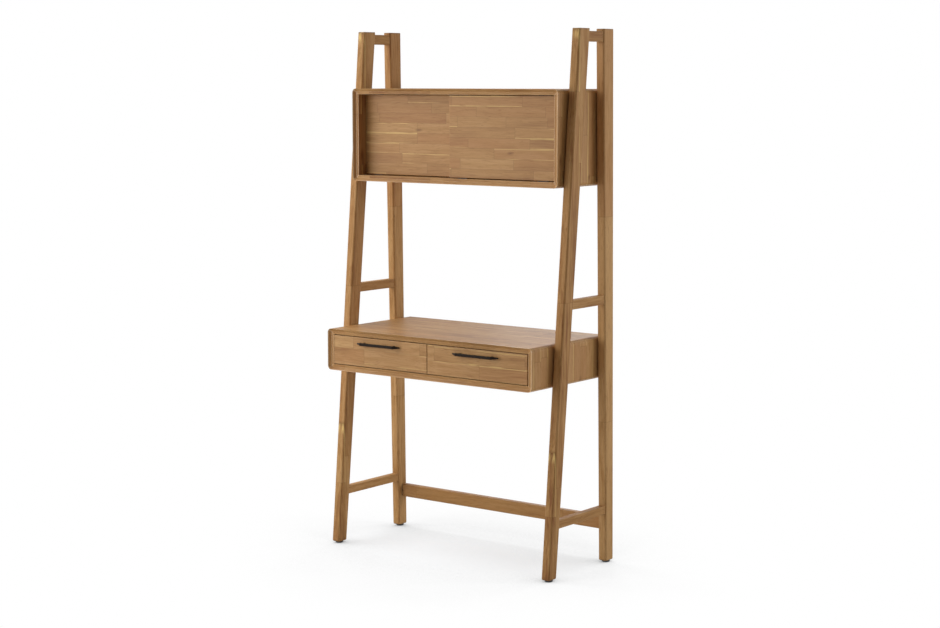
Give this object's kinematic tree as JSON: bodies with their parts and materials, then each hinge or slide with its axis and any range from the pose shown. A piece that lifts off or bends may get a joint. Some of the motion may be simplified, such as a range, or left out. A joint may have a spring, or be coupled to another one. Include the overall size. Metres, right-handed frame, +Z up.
{
  "type": "wall desk",
  "caption": "Wooden wall desk: leaning ladder-like side frames carry a desk box with inset drawers and, above it, a cabinet with sliding doors.",
  "frame": {"origin": "on the floor, under the middle of the whole object's width and depth", "axes": "+X to the right as seen from the front, +Y from the front to the wall, +Z up"},
  "size_m": [0.923, 0.4454, 1.767],
  "materials": {
    "frame_wood": "satin",
    "box_wood": "satin",
    "front_wood": "satin",
    "panel_wood": "matte",
    "inner_wood": "matte",
    "steel": "satin",
    "brass": "satin",
    "black_plastic": "matte",
    "dark_bronze": "satin"
  },
  "bodies": {
    "frame": {"left_front_leg": "frame_wood", "left_rear_leg": "frame_wood", "left_top_stretcher": "frame_wood", "left_middle_stretcher": "frame_wood", "left_low_stretcher": "frame_wood", "right_front_leg": "frame_wood", "right_rear_leg": "frame_wood", "right_top_stretcher": "frame_wood", "right_middle_stretcher": "frame_wood", "right_low_stretcher": "frame_wood", "back_rail": "frame_wood", "desk_top": "box_wood", "desk_bottom": "box_wood", "desk_left_side": "box_wood", "desk_right_side": "box_wood", "cabinet_top": "box_wood", "cabinet_bottom": "box_wood", "cabinet_left_side": "box_wood", "cabinet_right_side": "box_wood", "desk_back": "panel_wood", "cabinet_back": "panel_wood", "left_drawer_runners": "inner_wood", "right_drawer_runners": "inner_wood", "desk_divider": "inner_wood", "frame_dowels": "inner_wood", "desk_bolts": "steel", "cabinet_bolts": "steel", "rail_studs": "steel", "rail_cross_nuts": "steel", "leg_inserts": "brass", "floor_glides": "black_plastic", "desk_spacers": "black_plastic", "cabinet_spacers": "black_plastic", "rail_spacers": "black_plastic"},
    "left_drawer": {"left_drawer_front": "front_wood", "left_drawer_bottom": "panel_wood", "left_drawer_left_side": "inner_wood", "left_drawer_right_side": "inner_wood", "left_drawer_back": "inner_wood", "left_drawer_handle_screws": "steel", "left_drawer_handle": "dark_bronze"},
    "right_drawer": {"right_drawer_front": "front_wood", "right_drawer_bottom": "panel_wood", "right_drawer_left_side": "inner_wood", "right_drawer_right_side": "inner_wood", "right_drawer_back": "inner_wood", "right_drawer_handle_screws": "steel", "right_drawer_handle": "dark_bronze"},
    "left_door": {"left_door": "front_wood", "left_door_gliders": "black_plastic"},
    "right_door": {"right_door": "front_wood", "right_door_gliders": "black_plastic"}
  },
  "joints": [
    {"name": "left_drawer_slide", "type": "slide", "parent": "frame", "child": "left_drawer", "axis": [0, -1, 0], "range_m": [0, 0.26]},
    {"name": "right_drawer_slide", "type": "slide", "parent": "frame", "child": "right_drawer", "axis": [0, -1, 0], "range_m": [0, 0.26]},
    {"name": "left_door_slide", "type": "slide", "parent": "frame", "child": "left_door", "axis": [1, 0, 0], "range_m": [0, 0.385]},
    {"name": "right_door_slide", "type": "slide", "parent": "frame", "child": "right_door", "axis": [-1, 0, 0], "range_m": [0, 0.385]}
  ]
}
